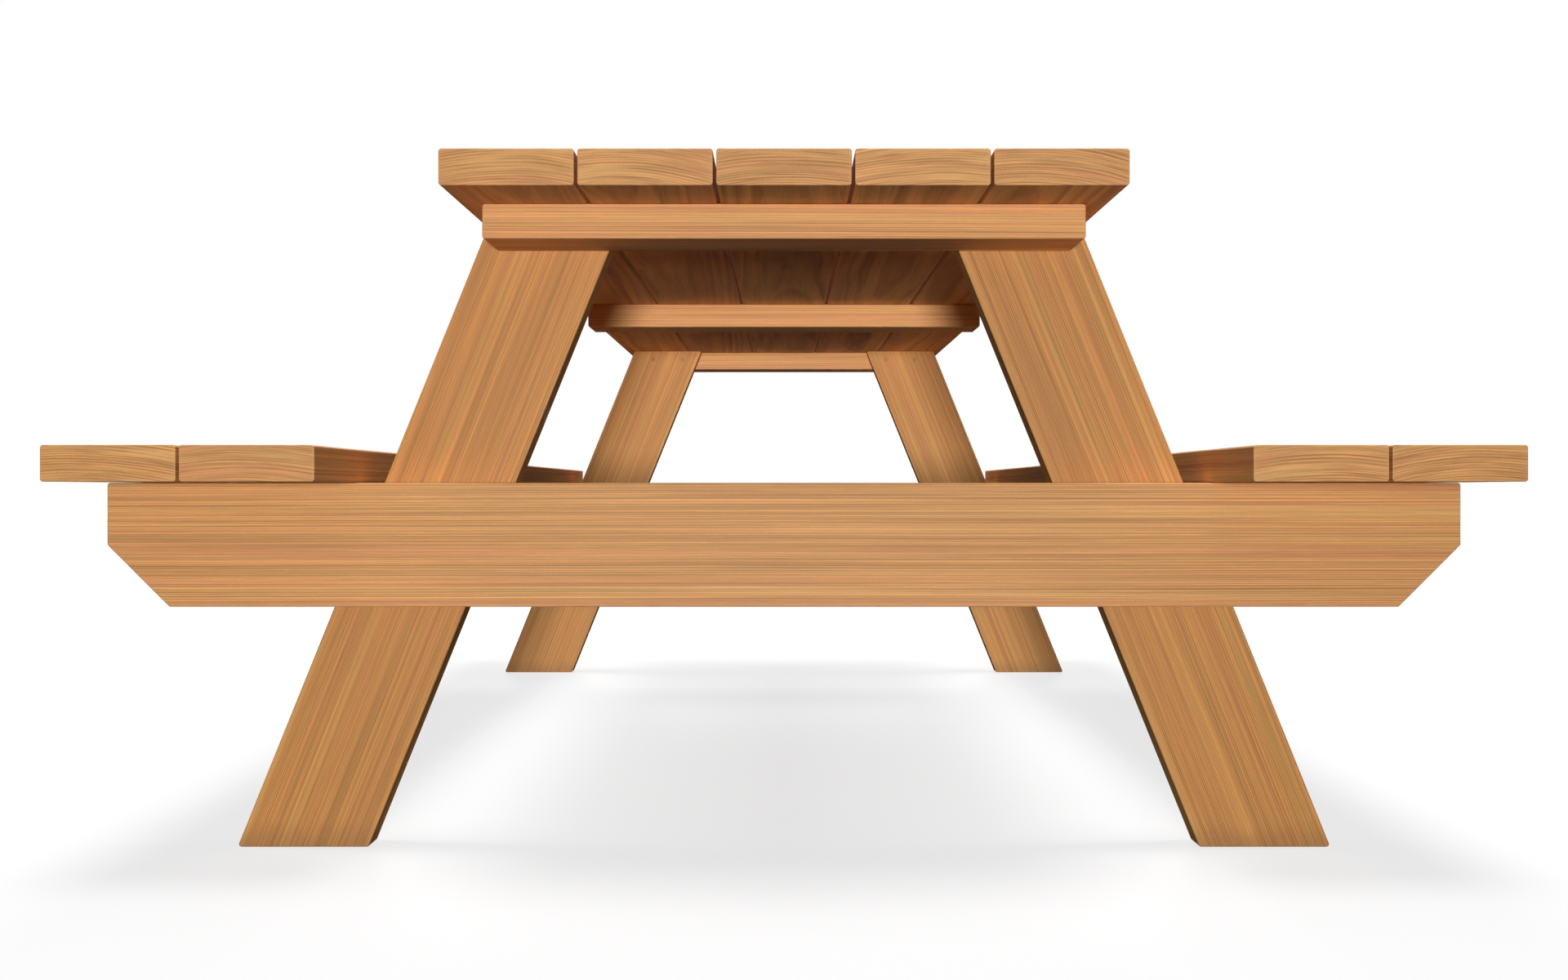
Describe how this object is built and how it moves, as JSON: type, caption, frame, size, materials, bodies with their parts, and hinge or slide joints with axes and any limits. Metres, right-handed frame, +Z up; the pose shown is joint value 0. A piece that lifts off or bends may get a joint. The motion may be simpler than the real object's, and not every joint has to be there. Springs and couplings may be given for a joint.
{
  "type": "picnic table",
  "caption": "Timber picnic table with attached bench seats on two A-shaped end frames of leaning legs, seat rails and cleats.",
  "frame": {"origin": "on the ground, at the middle of the table", "axes": "+Z up, Y along the planks with the front end at -Y, +X to the right-hand seat"},
  "size_m": [1.5304, 2.1336, 0.762],
  "materials": {
    "plank_wood": "clear softwood, satin oil",
    "rail_wood": "clear softwood, satin oil",
    "leg_wood": "clear softwood, satin oil",
    "zinc_steel": "dull hot-dip zinc",
    "coated_steel": "tan-coated deck screw"
  },
  "bodies": {
    "root": {"top_plank_1": "plank_wood", "top_plank_2": "plank_wood", "top_plank_3": "plank_wood", "top_plank_4": "plank_wood", "top_plank_5": "plank_wood", "seat_plank_left_inner": "plank_wood", "seat_plank_left_outer": "plank_wood", "seat_plank_right_inner": "plank_wood", "seat_plank_right_outer": "plank_wood", "top_cleat_front": "rail_wood", "top_cleat_middle": "rail_wood", "top_cleat_rear": "rail_wood", "seat_rail_front": "rail_wood", "seat_rail_rear": "rail_wood", "leg_front_left": "leg_wood", "leg_front_right": "leg_wood", "leg_rear_left": "leg_wood", "leg_rear_right": "leg_wood", "lag_screw_front_left_upper": "zinc_steel", "washer_front_left_upper": "zinc_steel", "lag_screw_front_left_lower": "zinc_steel", "washer_front_left_lower": "zinc_steel", "leg_screw_front_left_inner": "coated_steel", "leg_screw_front_left_outer": "coated_steel", "seat_screw_front_left_1": "coated_steel", "seat_screw_front_left_2": "coated_steel", "seat_screw_front_left_3": "coated_steel", "seat_screw_front_left_4": "coated_steel", "lag_screw_front_right_upper": "zinc_steel", "washer_front_right_upper": "zinc_steel", "lag_screw_front_right_lower": "zinc_steel", "washer_front_right_lower": "zinc_steel", "leg_screw_front_right_inner": "coated_steel", "leg_screw_front_right_outer": "coated_steel", "seat_screw_front_right_1": "coated_steel", "seat_screw_front_right_2": "coated_steel", "seat_screw_front_right_3": "coated_steel", "seat_screw_front_right_4": "coated_steel", "lag_screw_rear_left_upper": "zinc_steel", "washer_rear_left_upper": "zinc_steel", "lag_screw_rear_left_lower": "zinc_steel", "washer_rear_left_lower": "zinc_steel", "leg_screw_rear_left_inner": "coated_steel", "leg_screw_rear_left_outer": "coated_steel", "seat_screw_rear_left_1": "coated_steel", "seat_screw_rear_left_2": "coated_steel", "seat_screw_rear_left_3": "coated_steel", "seat_screw_rear_left_4": "coated_steel", "lag_screw_rear_right_upper": "zinc_steel", "washer_rear_right_upper": "zinc_steel", "lag_screw_rear_right_lower": "zinc_steel", "washer_rear_right_lower": "zinc_steel", "leg_screw_rear_right_inner": "coated_steel", "leg_screw_rear_right_outer": "coated_steel", "seat_screw_rear_right_1": "coated_steel", "seat_screw_rear_right_2": "coated_steel", "seat_screw_rear_right_3": "coated_steel", "seat_screw_rear_right_4": "coated_steel"}
  },
  "joints": []
}
